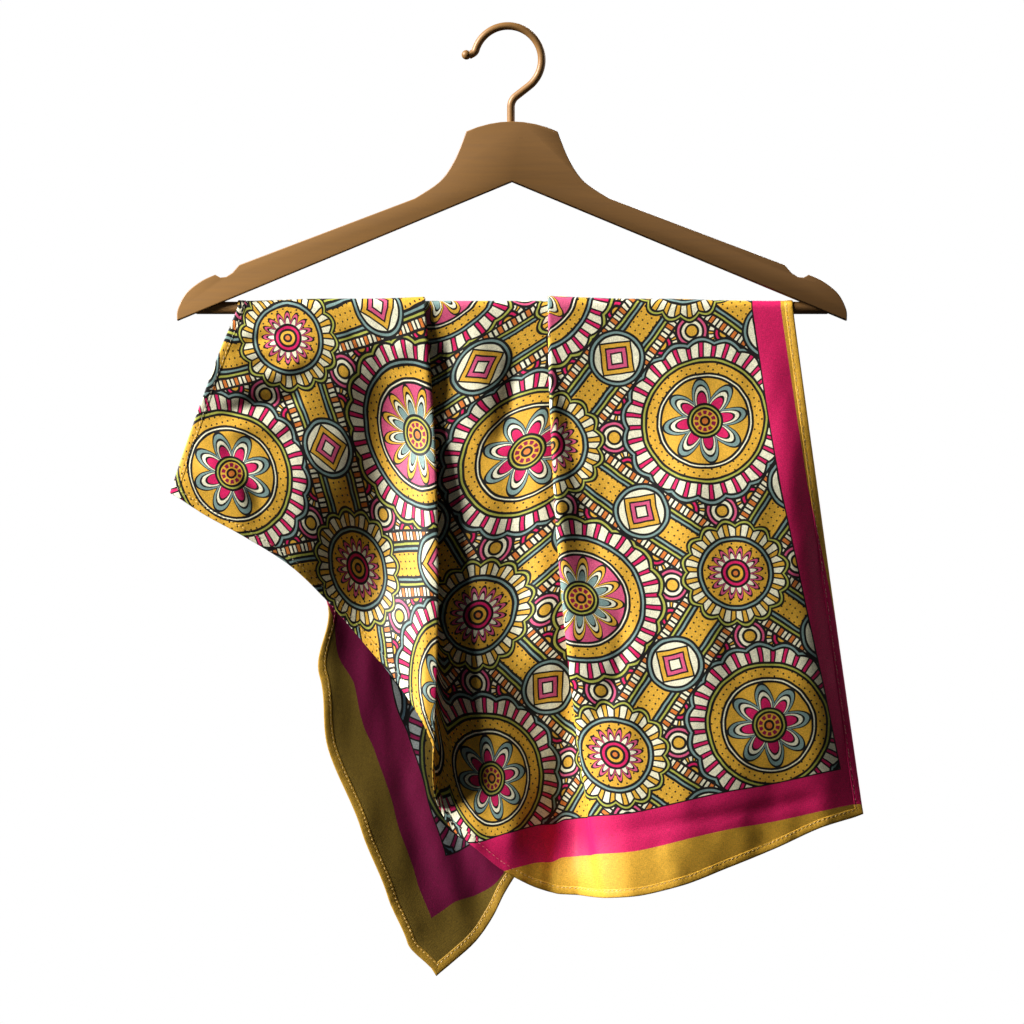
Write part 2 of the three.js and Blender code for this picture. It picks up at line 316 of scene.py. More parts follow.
def frontKnots(t):
    t = np.broadcast_to(t, (lineCount,))
    x = throughThree(barX, midX, hemX, t)
    out = throughThree(layerRadius, midOut, hemOut, t)
    press = drape["pressed"] * (1 - easeIn((frontDrop * t - drape["pressedTo"]) / drape["pressFade"]))
    out = out + (layerRadius - out) * press
    return np.stack([x, -out, drape["barZ"] - frontDrop * t])


def overKnots(angle):
    return np.stack([barX, -layerRadius * math.cos(angle),
                     drape["barZ"] + layerRadius * math.sin(angle)])


def backKnots(t):
    t = np.broadcast_to(t, (lineCount,))
    near = easeIn((drape["swayLines"] - lineNumbers) / drape["swayLines"])
    x = barX + (backX - barX) * t + near * sway(t)
    out = layerRadius + (backOut - layerRadius) * t ** drape["backSwing"]
    return np.stack([x, out, drape["barZ"] - backDrop * t])


def across(values, places):  # a smooth curve through the lines that never overshoots them
    values = np.asarray(values, float)
    step = np.diff(values, axis=-1)
    before, after = step[..., :-1], step[..., 1:]
    same = before * after > 0
    inner = np.where(same, 2 * before * after / np.where(same, before + after, 1), 0)
    slopes = np.concatenate([step[..., :1], inner, step[..., -1:]], axis=-1)
    k = np.minimum(places.astype(int), lineCount - 2)
    t = places - k
    start = values[..., k] * (1 + 2 * t) * (1 - t) ** 2 + slopes[..., k] * t * (1 - t) ** 2
    return start + values[..., k + 1] * t * t * (3 - 2 * t) - slopes[..., k + 1] * t * t * (1 - t)


# The print's own coordinates, p across and q along, in mm on the flat square

printAt = {
    "leftFront": ((0, 56), (1, 62)),
    "leftBack": ((0, 56), (0.444, 30), (0.578, 8), (0.68, 1), (0.81, 6), (0.93, 8.6), (1, 8.6)),
    "rightFront": ((0, 578), (0.35, 576.5), (0.585, 571), (0.76, 566), (0.918, 562.5), (1, 560)),
    "rightBack": ((0, 578), (1, 590)),
    "frontHem": ((0, 58), (16, 60), (17, 52), (18, 30), (19, 13.5), (21, 6), (23, 3.5),
                 (25, 1.5), (28, 1), (29, 5), (30, 12), (31, 19.5), (33, 23.5)),
    "bar": ((0, 192), (4, 225), (8, 265), (9, 265), (16, 385), (18, 393), (25, 393),
            (28, 384), (31, 368), (33, 363)),
    "backHem": ((0, 591), (2, 592), (3, 591), (4, 583), (5, 577), (8, 575), (33, 580)),
    "overBar": 14.0,
}


def alongTable(name, at):
    rows = np.array(printAt[name], float)
    return np.interp(at, rows[:, 0], rows[:, 1])


qFrontHem = alongTable("frontHem", lineNumbers)
qBar = alongTable("bar", lineNumbers)
qBackHem = alongTable("backHem", lineNumbers)


def printLevel(stretch, t):  # q on each line, p on the left edge and on the right one
    share = float(np.mean(t))
    if stretch == "front":
        q = qBar + (qFrontHem - qBar) * t
        return q, alongTable("leftFront", share), alongTable("rightFront", share)
    if stretch == "over":
        return qBar + printAt["overBar"] * t, printAt["leftBack"][0][1], printAt["rightBack"][0][1]
    start = qBar + printAt["overBar"]
    q = start + (qBackHem - start) * t
    return q, alongTable("leftBack", share), alongTable("rightBack", share)


def spreadPrint(points, places, pLeft, pRight):
    gaps = np.linalg.norm(np.diff(points, axis=1), axis=0)
    middles = (places[1:] + places[:-1]) / 2
    inside = (middles > pleatInside[0]) & (middles < pleatInside[1])
    spare = pRight - pLeft - gaps[~inside].sum()
    gaps = np.where(inside, gaps * spare / gaps[inside].sum(), gaps)
    return pLeft + np.concatenate([[0], np.cumsum(gaps)])


def knotsAt(stretch, t):
    if stretch == "over":
        return overKnots(t * math.pi)
    return frontKnots(t) if stretch == "front" else backKnots(t)


def level(stretch, t, places):
    points = across(knotsAt(stretch, t), places)
    q, pLeft, pRight = printLevel(stretch, t)
    return points, spreadPrint(points, places, pLeft, pRight), across(q, places)


# Creases, listed one by one. Each runs through three places, x then z; then its width and how far
# it stands out of the cloth, or sinks in, all in mm.
frontCreases = [
    ((-186, -214), (-166, -204), (-134, -194), 5, -2.2),
    ((-182, -230), (-158, -228), (-128, -210), 6, 1.6),
    ((-194, -254), (-165, -246), (-134, -244), 5, -2.4),
    ((-196, -268), (-168, -262), (-140, -262), 6, 1.5),
    ((-207, -286), (-190, -292), (-168, -314), 6, 1.5),
    ((-192, -272), (-176, -292), (-162, -324), 5, -2.0),
    ((-184, -176), (-203, -248), (-230, -330), 36, 9.0),
    ((-113, -190), (-92, -214), (-56, -234), 4.5, -2.0),
    ((-102, -196), (-84, -206), (-62, -214), 7, 1.4),
    ((-80, -204), (-83, -310), (-99, -404), 28, -9.6),
    ((-58, -222), (-55, -330), (-54, -470), 12, -2.6),
    ((-43, -190), (-41, -240), (-26, -285), 4, -1.8),
    ((-23, -184), (-23, -216), (-21, -262), 11, 2.6),
    ((0, -206), (-2, -244), (-16, -286), 5, -2.8),
    ((-20, -280), (-20, -390), (-22, -490), 16, 3.8),
    ((20, -215), (18, -330), (16, -436), 10, 3.2),
    ((30, -205), (44, -300), (64, -362), 4, -2.2),
    ((40, -306), (46, -340), (52, -376), 7, -2.4),
    ((66, -368), (70, -420), (44, -466), 5, -1.8),
    ((-4, -440), (-2, -500), (-4, -556), 11, 2.2),
    ((12, -410), (36, -488), (44, -566), 24, -8.2),
    ((-34, -512), (16, -574), (62, -582), 19, -5.6),
    ((83, -420), (87, -450), (84, -495), 7, -0.9),
    ((108, -205), (118, -330), (128, -500), 15, 0.9),
    ((138, -200), (142, -350), (148, -500), 8, -0.6),
    ((172, -200), (190, -350), (207, -508), 17, 3.4),
    ((52, -528), (140, -515), (214, -501), 4, -0.9),
    ((96, -535), (104, -545), (108, -562), 6, 1.0),
    ((150, -515), (162, -526), (168, -540), 6, -1.0),
]
backCreases = [
    ((-128, -192), (-128, -330), (-70, -470), 12, 1.6),
    ((-100, -200), (-104, -360), (-60, -520), 9, -1.8),
    ((-60, -192), (-70, -330), (-40, -560), 11, 1.4),
    ((-92, -400), (-76, -480), (-52, -590), 7, 1.2),
    ((-64, -420), (-50, -520), (-30, -600), 8, -1.6),
    ((-20, -190), (-20, -330), (0, -520), 9, -1.3),
    ((30, -192), (30, -330), (44, -480), 10, 1.2),
    ((70, -190), (76, -300), (80, -440), 9, -1.4),
    ((110, -192), (110, -300), (118, -430), 8, 1.3),
    ((140, -192), (140, -300), (146, -420), 9, -1.2),
    ((170, -194), (168, -300), (166, -415), 7, 1.0),
]
ripples = (
    # size across, size along, height in mm
    (17.0, 58.0, 0.7),
    (8.0, 24.0, 0.3),
)
rippleLean = 0.08
rippleSeeds = {"front": 3.7, "back": 8.2}
curveSteps = 20
creaseTaper = 0.25  # share of a crease over which it fades in, and out again


def bezier(start, middle, end, t):
    start, middle, end = (np.array(point, float) for point in (start, middle, end))
    control = 2 * middle - (start + end) / 2
    t = t[:, None]
    return start * (1 - t) ** 2 + control * 2 * t * (1 - t) + end * t * t


def creaseHeight(x, z, creases):
    height = np.zeros_like(x)
    place = np.stack([x, z], axis=-1)
    for start, middle, end, width, depth in creases:
        curve = bezier(start, middle, end, np.linspace(0, 1, curveSteps + 1))
        nearest = np.full(x.shape, 1e9)
        along = np.zeros_like(x)
        for i in range(curveSteps):
            piece = curve[i + 1] - curve[i]
            share = np.clip(((place - curve[i]) @ piece) / (piece @ piece), 0, 1)
            away = np.linalg.norm(place - curve[i] - share[..., None] * piece, axis=-1)
            closer = away < nearest
            nearest = np.where(closer, away, nearest)
            along = np.where(closer, (i + share) / curveSteps, along)
        taper = easeIn(np.minimum(along, 1 - along) / creaseTaper)
        height += depth * taper * np.exp(-(nearest / width) ** 2)
    return height


def rippleHeight(x, z, shift):
    height = np.zeros_like(x)
    for wide, tall, size in ripples:
        lean = x - rippleLean * z
        flat = [noise.noise(Vector((a / wide, b / tall, shift)))
                for a, b in zip(lean.ravel(), z.ravel())]
        height += size * np.array(flat).reshape(x.shape)
    return height


def settle(points, stretch):  # points (3, ...), moved out of the cloth's plane by the creases
    if stretch == "over":
        return points
    x, y, z = points
    fade = easeIn((drape["barZ"] - z) / drape["clearBar"])
    front = stretch == "front"
    height = creaseHeight(x, z, frontCreases if front else backCreases)
    height += rippleHeight(x, z, rippleSeeds[stretch])
    return np.stack([x, y + height * fade * (-1 if front else 1), z])


def columnPlaces(spacing):
    levels = [frontKnots(0.0), frontKnots(0.5), frontKnots(1.0), backKnots(0.5), backKnots(1.0)]
    widths = np.max([np.linalg.norm(np.diff(knots, axis=1), axis=0) for knots in levels], axis=0)
    places = [0.0]
    for line, width in enumerate(widths):
        steps = max(drape["fewestSteps"], math.ceil(width / spacing))
        places += [line + (i + 1) / steps for i in range(steps)]
    return np.array(places)


def stretchRows():
    rows = [("front", 1 - i / drape["frontRows"]) for i in range(drape["frontRows"])]
    rows += [("over", i / drape["overRows"]) for i in range(drape["overRows"])]
    return rows + [("back", i / drape["backRows"]) for i in range(drape["backRows"] + 1)]


def mapOnto(mesh, prints):  # each corner takes its vertex's place on the flat square
    uv = mesh.uv_layers.new(name="printMap")
    corner = np.empty(len(mesh.loops), np.int32)
    mesh.loops.foreach_get("vertex_index", corner)
    uv.data.foreach_set("uv", (prints[corner] * mm).astype(np.float32).ravel())


def gridMesh(name, points, prints, closed=False):
    rows, columns = points.shape[:2]
    mesh = bpy.data.meshes.new(name)
    number = np.arange(rows * columns).reshape(rows, columns)
    right = np.roll(number, -1, axis=1)[:-1] if closed else number[:-1, 1:]
    upRight = np.roll(number, -1, axis=1)[1:] if closed else number[1:, 1:]
    left = number[:-1] if closed else number[:-1, :-1]
    upLeft = number[1:] if closed else number[1:, :-1]
    faces = np.stack([left, right, upRight, upLeft], axis=-1).reshape(-1, 4).tolist()
    if closed:
        faces += [number[0, ::-1].tolist(), number[-1].tolist()]
    mesh.from_pydata((points.reshape(-1, 3) * mm).tolist(), [], faces)
    mapOnto(mesh, prints.reshape(-1, 2))
    mesh.shade_smooth()
    return newObject(name, mesh)


def addScarf():
    places = columnPlaces(drape["columnStep"])
    points, prints = [], []
    for stretch, t in stretchRows():
        row, p, q = level(stretch, t, places)
        points.append(settle(row, stretch).T)
        prints.append(np.stack([p, q], axis=-1))
    scarf = gridMesh("scarf_square", np.array(points), np.array(prints))
    scarf.data.materials.append(None)  # the printed face
    scarf.data.materials.append(None)  # the wrong side
    wall = scarf.modifiers.new("cloth", "SOLIDIFY")
    wall.thickness = drape["thickness"] * mm
    wall.offset = 0
    wall.material_offset = 1
    applyAll(scarf)
    print("scarf:", len(places), "columns,", len(points), "rows,", len(scarf.data.polygons), "faces")
    return scarf


scarf = addScarf()
finishPiece(scarf, "printed_silk", "scarf_front", "scarf_over_bar", "scarf_back")


# The four turned hems, each a narrow doubled strip on the cloth's own edge

hem = {
    "width": 5.6,
    "lineWidth": 6.0,      # between the first two lines, and between the last two
    "step": 0.8,
    "squareLimit": 0.4,    # where the edge runs steeply, the strip isn't drawn out further
    "fallFrom": 0.985,     # the share of the fall from which its way to the hem is taken
    "stitchRow": 4.5,
    "rowWidth": 0.7,
    "stitchPitch": 3.0,
    "puckerDepth": 0.16,
    "waveLength": 9.0,
    "waveHeight": 0.1,
    "slowWave": 34.0,
}
# across the strip from its inner edge: distance from the cloth's edge, half its thickness
hemProfile = np.array([
    (5.6, 0.18), (5.35, 0.42), (4.95, 0.54), (4.5, 0.42), (4.05, 0.56), (2.6, 0.6),
    (1.2, 0.66), (0.45, 0.6), (0.1, 0.42), (-0.06, 0.16),
])


def surfaceNormals(points):  # points (stations, across, 3)
    along = np.gradient(points, axis=0)
    over = np.gradient(points, axis=1)
    normal = np.cross(over, along)
    return normal / np.maximum(np.linalg.norm(normal, axis=-1, keepdims=True), 1e-9)


def arcLength(points):
    gaps = np.linalg.norm(np.diff(points, axis=0), axis=-1)
    return np.concatenate([[0], np.cumsum(gaps)])


def sideStations():
    stations = []
    for stretch, drop in (("front", float(frontDrop[0])), ("over", printAt["overBar"]),
                          ("back", float(backDrop[0]))):
        count = math.ceil(drop / hem["step"])
        share = np.linspace(0, 1, count + 1)[:-1]
        stations += [(stretch, 1 - t if stretch == "front" else t) for t in share]
    return stations + [("back", 1.0)]


def sideSheet(right):  # the cloth under a side hem: stations down the edge, then across it
    distance = np.maximum(hemProfile[:, 0], 0)
    points, prints = [], []
    for stretch, t in sideStations():
        places = distance / hem["lineWidth"]
        places = lineCount - 1 - places if right else places
        row = across(knotsAt(stretch, t), places)
        q, pLeft, pRight = printLevel(stretch, t)
        points.append(settle(row, stretch).T)
        p = pRight - distance if right else pLeft + distance
        prints.append(np.stack([p, across(q, places)], axis=-1))
    return np.array(points), np.array(prints)


def squareShare(stretch):  # how square the fall is to the hem, on each line
    end = knotsAt(stretch, 1.0)
    edge = np.gradient(end, axis=1)
    fall = end - knotsAt(stretch, hem["fallFrom"])
    edge /= np.linalg.norm(edge, axis=0)
    fall /= np.linalg.norm(fall, axis=0)
    return np.sqrt(np.clip(1 - (edge * fall).sum(axis=0) ** 2, hem["squareLimit"] ** 2, 1))


def bottomSheet(stretch):
    drop = frontDrop if stretch == "front" else backDrop
    square = squareShare(stretch)
    coarse = np.linspace(0, lineCount - 1, 4000)
    length = arcLength(across(knotsAt(stretch, 1.0), coarse).T)
    count = math.ceil(length[-1] / hem["step"])
    places = np.interp(np.linspace(0, length[-1], count + 1), length, coarse)
    points, prints = [], []
    for distance in np.maximum(hemProfile[:, 0], 0):
        t = 1 - distance / (square * drop)
        row, p, q = level(stretch, t, places)
        points.append(settle(row, stretch).T)
        prints.append(np.stack([p, q], axis=-1))
    return np.array(points).swapaxes(0, 1), np.array(prints).swapaxes(0, 1)


def addHem(name, points, prints, seed, faceOnTop):
    draw = random.Random(seed)
    normals = surfaceNormals(points)
    outward = points[:, -1] - points[:, -2]
    outward /= np.maximum(np.linalg.norm(outward, axis=-1, keepdims=True), 1e-9)
    length = arcLength(points[:, -1])
    distance, half = hemProfile.T
    row = np.exp(-((distance - hem["stitchRow"]) / hem["rowWidth"]) ** 2)
    pucker = 0.5 + 0.5 * np.cos(2 * np.pi * length / hem["stitchPitch"])
    phase = draw.uniform(0, 6)
    slow = np.array([noise.noise(Vector((place / hem["slowWave"], seed, 0))) for place in length])
    wave = np.sin(2 * np.pi * length / hem["waveLength"] + 3 * slow + phase) * (0.4 + slow)
    thick = half[None] * (1 + 0.12 * slow[:, None]) - hem["puckerDepth"] * pucker[:, None] * row[None]
    lift = hem["waveHeight"] * wave[:, None] * easeIn(1 - distance / hem["width"])[None]
    middle = points + normals * lift[..., None]
    middle = middle + outward[:, None] * np.minimum(distance, 0)[None, :, None] * -1
    top = middle + normals * thick[..., None]
    under = middle - normals * thick[..., None]
    ring = np.concatenate([top, under[:, ::-1]], axis=1)
    ringPrints = np.concatenate([prints, prints[:, ::-1]], axis=1)
    strip = gridMesh(name, ring, ringPrints, closed=True)
    strip.data.materials.append(None)
    strip.data.materials.append(None)
    turn = 2 * len(distance)  # faces in one turn round the strip
    for number, face in enumerate(strip.data.polygons[:(len(top) - 1) * turn]):
        onTop = number % turn < len(distance) - 1
        face.material_index = 0 if onTop == faceOnTop else 1
    editAll(strip, "FACE")
    bpy.ops.mesh.normals_make_consistent(inside=False)
    objectMode()
    at = int(np.argmin(np.abs(distance - hem["stitchRow"])))
    rows = [(top[:, at], normals[:, at], length, prints[:, at]),
            (under[:, at], -normals[:, at], length, prints[:, at])]
    print(name + ":", len(length), "steps,", round(float(length[-1])), "mm")
    return strip, rows


leftSheet, rightSheet = sideSheet(False), sideSheet(True)
frontSheet, backSheet = bottomSheet("front"), bottomSheet("back")
hemPieces, stitchRows = [], []
for name, sheet, seed, faceOnTop in (("turned_hem_left", leftSheet, 11, False),
                                     ("turned_hem_right", rightSheet, 12, True),
                                     ("turned_hem_front", frontSheet, 13, True),
                                     ("turned_hem_back", backSheet, 14, False)):
    strip, rows = addHem(name, *sheet, seed, faceOnTop)
    finishPiece(strip, "hem_silk", name.replace("turned_hem", "hem"))
    hemPieces.append(strip)
    stitchRows += rows


# The stitches along the hems, one small thread modelled once and copied

stitch = {
    "length": 2.1,
    "thickness": 0.5,
    "slant": 14,
    "slantSpread": 4,
    "sizeSpread": 0.1,
    "pitchSpread": 0.25,
    "sides": 6,
    "rings": 5,
    "seed": 21,
}


def oneStitch():
    bpy.ops.object.select_all(action="DESELECT")
    bpy.ops.mesh.primitive_uv_sphere_add(segments=stitch["sides"], ring_count=stitch["rings"],
                                         radius=1)
    thread = bpy.context.object
    thread.rotation_euler = (0, math.pi / 2, 0)
    thread.scale = (stitch["thickness"] / 2, stitch["thickness"] / 2, stitch["length"] / 2)
    applyAll(thread)
    corners = np.array([vertex.co for vertex in thread.data.vertices])
    faces = [list(face.vertices) for face in thread.data.polygons]
    bpy.data.objects.remove(thread)
    return corners, faces


def addStitches():
    draw = random.Random(stitch["seed"])
    corners, faces = oneStitch()
    points, allFaces, spots = [], [], []
    for line, normals, length, prints in stitchRows:
        tangents = np.gradient(line, axis=0)
        place = hem["stitchPitch"] / 2
        while place < length[-1] - 2:
            i = int(np.searchsorted(length, place))
            along = Vector(tangents[i]).normalized()
            normal = Vector(normals[i])
            side = normal.cross(along).normalized()
            lean = draw.uniform(-stitch["slantSpread"], stitch["slantSpread"])
            angle = math.radians(stitch["slant"] + lean)
            forward = along * math.cos(angle) + side * math.sin(angle)
            sideways = normal.cross(forward).normalized()
            centre = Vector(line[i]) + normal * 0.02
            turned = np.array([forward, sideways, normal])
            allFaces += [[number + len(points) * len(corners) for number in face] for face in faces]
            size = draw.uniform(1 - stitch["sizeSpread"], 1 + stitch["sizeSpread"])
            points.append(corners @ turned * size + np.array(centre))
            spots.append(np.repeat(prints[i][None], len(corners), axis=0))
            place += hem["stitchPitch"] + draw.uniform(-stitch["pitchSpread"], stitch["pitchSpread"])
    mesh = bpy.data.meshes.new("hem_stitches")
    mesh.from_pydata((np.concatenate(points) * mm).tolist(), [], allFaces)
    mapOnto(mesh, np.concatenate(spots))
    mesh.shade_smooth()
    print("stitches:", len(points))
    return newObject("hem_stitches", mesh)


stitches = addStitches()
finishPiece(stitches, "hem_silk")


# The hanger: board, bar and wire hook

board = {
    "edgeRound": 1.6,
    "segments": 3,
    "faceY": 6.5,
}


def addBoard():
    piece = newObject("hanger_board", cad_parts["hanger_body"].data.copy())
    piece.data.materials.clear()
    editAll(piece, "EDGE")
    bpy.ops.mesh.remove_doubles(threshold=0.02 * mm)
    bpy.ops.mesh.dissolve_limited(angle_limit=math.radians(1))
    bpy.ops.mesh.select_all(action="DESELECT")
    objectMode()
    vertices = piece.data.vertices
    for edge in piece.data.edges:
        first, last = (vertices[number].co for number in edge.vertices)
        onFace = all(abs(abs(end.y) - board["faceY"] * mm) < 0.05 * mm for end in (first, last))
        edge.select = onFace and first.y * last.y > 0
    editMode(piece, "EDGE")
    bpy.ops.mesh.bevel(offset=board["edgeRound"] * mm, segments=board["segments"],
                       affect="EDGES", clamp_overlap=True)
    objectMode()
    smoothByAngle(piece, 32)
    print("board:", len(piece.data.polygons), "faces")
    return piece


boardPiece = addBoard()
finishPiece(boardPiece, "hanger_wood", "hanger_body")

bar = {
    "radius": drape["barRadius"],
    "halfLength": 208,
    "z": drape["barZ"],
    "endRound": 0.8,
    "sides": 48,
}


def addBar():
    bpy.ops.object.select_all(action="DESELECT")
    bpy.ops.mesh.primitive_cylinder_add(vertices=bar["sides"], radius=bar["radius"] * mm,
                                        depth=2 * bar["halfLength"] * mm,
                                        location=(0, 0, bar["z"] * mm), rotation=(0, math.pi / 2, 0))
    piece = bpy.context.object
    piece.name = "hanger_rod"
    applyAll(piece)
    for edge in piece.data.edges:
        ends = [piece.data.vertices[number].co.x for number in edge.vertices]
        edge.select = abs(ends[0] - ends[1]) < 0.1 * mm
    editMode(piece, "EDGE")
    bpy.ops.mesh.bevel(offset=bar["endRound"] * mm, segments=3, affect="EDGES")
    objectMode()
    smoothByAngle(piece, 40)
    print("bar:", len(piece.data.polygons), "faces")
    return piece


barPiece = addBar()
finishPiece(barPiece, "hanger_wood", "hanger_bar")

hook = {
    "wire": 2.55,
    "sides": 20,
    "centre": (-2.6, -19.7),
    "radius": 22.2,
    "freeEnd": 163,
    "lowEnd": -52,
    "straight": 10.5,
    "bend": 9.0,
    "stemBottom": -79,
    "ball": (-30, -16.5),
    "ballRadius": 3.15,
    "neckBend": 4.0,
    "neckTurn": 44,
    "neckReach": 3.0,
    "arcSteps": 56,
    "bendSteps": 12,
    "neckSteps": 8,
}


def heading(degrees):
    return Vector((math.cos(math.radians(degrees)), 0, math.sin(math.radians(degrees))))


def spinRing(centre, degrees, steps):  # turns the ring towards the viewer's left when over 0
    bpy.ops.mesh.spin(steps=steps, angle=math.radians(degrees), center=centre * mm, axis=(0, 1, 0))


def pullRing(direction, distance):
    bpy.ops.mesh.extrude_region_move(TRANSFORM_OT_translate={"value": direction * distance * mm})


def startRing(place, direction):
    bpy.ops.object.select_all(action="DESELECT")
    turn = Vector((0, 0, 1)).rotation_difference(direction).to_euler()
    bpy.ops.mesh.primitive_circle_add(vertices=hook["sides"], radius=hook["wire"] * mm,
                                      location=place * mm, rotation=turn)
    ring = bpy.context.object
    applyAll(ring)
    editAll(ring, "VERT")
    return ring


def addHook():
    centre = Vector((hook["centre"][0], 0, hook["centre"][1]))
    start = centre + heading(hook["freeEnd"]) * hook["radius"]
    wire = startRing(start, heading(hook["freeEnd"] - 90))
    spinRing(centre, hook["lowEnd"] - hook["freeEnd"], hook["arcSteps"])
    going = hook["lowEnd"] - 90
    low = centre + heading(hook["lowEnd"]) * hook["radius"]
    pullRing(heading(going), hook["straight"])
    low = low + heading(going) * hook["straight"]
    turn = -90 - going
    spinRing(low + heading(going + 90) * hook["bend"], turn, hook["bendSteps"])
    stemTop = low + heading(going + 90) * hook["bend"] - Vector((hook["bend"], 0, 0))
    pullRing(Vector((0, 0, -1)), stemTop.z - hook["stemBottom"])
    bpy.ops.mesh.edge_face_add()
    objectMode()

    back = hook["freeEnd"] + 90
    neck = startRing(start, heading(back))
    neckCentre = start + heading(back - 90) * hook["neckBend"]
    spinRing(neckCentre, -hook["neckTurn"], hook["neckSteps"])
    pullRing(heading(back - hook["neckTurn"]), hook["neckReach"])
    bpy.ops.mesh.edge_face_add()
    objectMode()

    pick(wire)
    neck.select_set(True)
    bpy.ops.object.join()
    editAll(wire, "VERT")
    bpy.ops.mesh.remove_doubles(threshold=0.05 * mm)
    bpy.ops.mesh.normals_make_consistent(inside=False)
    objectMode()

    bpy.ops.mesh.primitive_uv_sphere_add(segments=28, ring_count=18, radius=hook["ballRadius"] * mm,
                                         location=(hook["ball"][0] * mm, 0, hook["ball"][1] * mm))
    knob = bpy.context.object
    applyAll(knob)
    wire.name = "hook_wire"
    union = wire.modifiers.new("ball", "BOOLEAN")
    union.operation = "UNION"
    union.object = knob
    applyAll(wire)
    bpy.data.objects.remove(knob)
    smoothByAngle(wire, 40)
    print("hook:", len(wire.data.polygons), "faces")
    return wire


hookPiece = addHook()
finishPiece(hookPiece, "hook_metal", "hanger_hook")


# The print: a generic diamond trellis with rosettes, scallops and dots, in plain borders.
# Everything in it is in mm on the flat square.

dye = {
    "mustard": colour(234, 178, 58),
    "orange": colour(222, 124, 50),
    "magenta": colour(226, 30, 99),
    "wine": colour(146, 14, 64),
    "pink": colour(226, 92, 132),
    "teal": colour(132, 160, 154),
    "olive": colour(180, 182, 78),
    "cream": colour(252, 246, 212),
    "black": colour(20, 17, 15),
}
square = {
    "centre": (303, 300),
    "fieldLeft": 54.5,
    "fieldRight": 551.5,
    "fieldFront": 54.5,
    "fieldBack": 545.5,
    "bandEdge": 30,
    "trellis": 146.0,
    "lead": 60.5,         # repeats added before counting, so that none is under 0
    "line": 0.78,
    "soft": 0.1,
    "wobble": 1.7,
    "wobbleScale": 0.07,
}


def below(tree, value, limit):
    return ramp(tree, value, limit - square["soft"], limit + square["soft"], 1, 0)


def above(tree, value, limit):
    return ramp(tree, value, limit - square["soft"], limit + square["soft"])


def inside(tree, value, low, high):  # how far inside the two limits, under 0 outside
    return calc(tree, "MINIMUM", minus(tree, value, low), minus(tree, high, value))


def stroke(tree, value, at, half=square["line"]):
    away = absolute(tree, minus(tree, value, at) if at else value)
    return below(tree, away, half)


def strokes(tree, value, places, half=square["line"]):
    mask = stroke(tree, value, places[0], half)
    for place in places[1:]:
        mask = calc(tree, "MAXIMUM", mask, stroke(tree, value, place, half))
    return mask


def folded(tree, value, pitch):  # distance from the middle of each repeat, signed
    turn = calc(tree, "MULTIPLY_ADD", value, 1 / pitch, square["lead"])
    return times(tree, minus(tree, calc(tree, "FRACT", turn), 0.5), pitch)


def reach(tree, across, along):
    both = times(tree, across, across)
    return calc(tree, "SQRT", calc(tree, "MULTIPLY_ADD", along, along, both))


def petals(tree, angle, count):  # 1 along each petal, 0 between two
    return absolute(tree, calc(tree, "COSINE", times(tree, angle, count / 2)))


def makeTrellis(tree, p, q):
    x = minus(tree, p, square["centre"][0])
    y = minus(tree, q, square["centre"][1])
    a = times(tree, calc(tree, "ADD", x, y), math.sqrt(0.5))
    b = times(tree, minus(tree, x, y), math.sqrt(0.5))
    pitch = square["trellis"]
    ca, cb = folded(tree, a, pitch), folded(tree, b, pitch)
    ga = minus(tree, pitch / 2, absolute(tree, ca))
    gb = minus(tree, pitch / 2, absolute(tree, cb))
    nearA = calc(tree, "LESS_THAN", ga, gb)
    away = calc(tree, "MINIMUM", ga, gb)
    along = calc(tree, "ADD", times(tree, nearA, cb), times(tree, minus(tree, 1, nearA), ca))
    rows = [calc(tree, "FLOOR", calc(tree, "MULTIPLY_ADD", way, 1 / pitch, square["lead"]))
            for way in (a, b)]
    other = calc(tree, "MODULO", calc(tree, "ADD", *rows), 2)
    return a, b, ca, cb, ga, gb, away, absolute(tree, along), other


def dotted(tree, a, b, under, over, pitch, size):
    dots = reach(tree, folded(tree, a, pitch), folded(tree, b, pitch))
    return paint(tree, under, over, below(tree, dots, size))


# Rows run from the widest ring to the innermost: how far it reaches in mm, its dye. Each ring
# gets its outline.
def layered(tree, base, value, rows):
    for limit, tone in rows:
        base = paint(tree, base, tone, below(tree, value, limit))
    return paint(tree, base, "black", strokes(tree, value, [limit for limit, tone in rows]))


def spread(tree, far, angle, count, share, under, over):  # rays with fine lines round them
    turn = times(tree, folded(tree, angle, 2 * math.pi / count), far)
    half = times(tree, far, math.pi / count * share)
    edge = minus(tree, absolute(tree, turn), half)
    rays = paint(tree, under, over, below(tree, edge, 0))
    return paint(tree, rays, "black", stroke(tree, edge, 0, 0.5))


def paintScallops(tree, base, away, along, other):
    pitch = square["trellis"] / 6
    xs = folded(tree, along, pitch)
    ys = minus(tree, away, 19.0)
    far = reach(tree, xs, ys)
    fan = spread(tree, far, calc(tree, "ARCTAN2", ys, xs), 12, 0.4, "cream", "mustard")
    rim = paint(tree, "olive", "teal", other)
    fan = paint(tree, fan, rim, above(tree, far, 11.0))
    fan = layered(tree, fan, far, ((6.6, "magenta"), (3.6, "mustard")))
    fan = paint(tree, fan, "black", strokes(tree, far, (11.0, 13.5)))
    return paint(tree, base, fan, below(tree, far, 14.2))


def paintBands(tree, base, ribbon, away, along):
    place = absolute(tree, folded(tree, along, square["trellis"] / 16))
    ladder = paint(tree, "cream", "orange", below(tree, place, 1.6))
    ladder = paint(tree, ladder, "black", strokes(tree, place, (1.6, 4.4), 0.5))
    return layered(tree, base, away, ((19.4, ladder), (13.2, "olive"), (10.4, "teal"),
                                      (7.6, ribbon)))


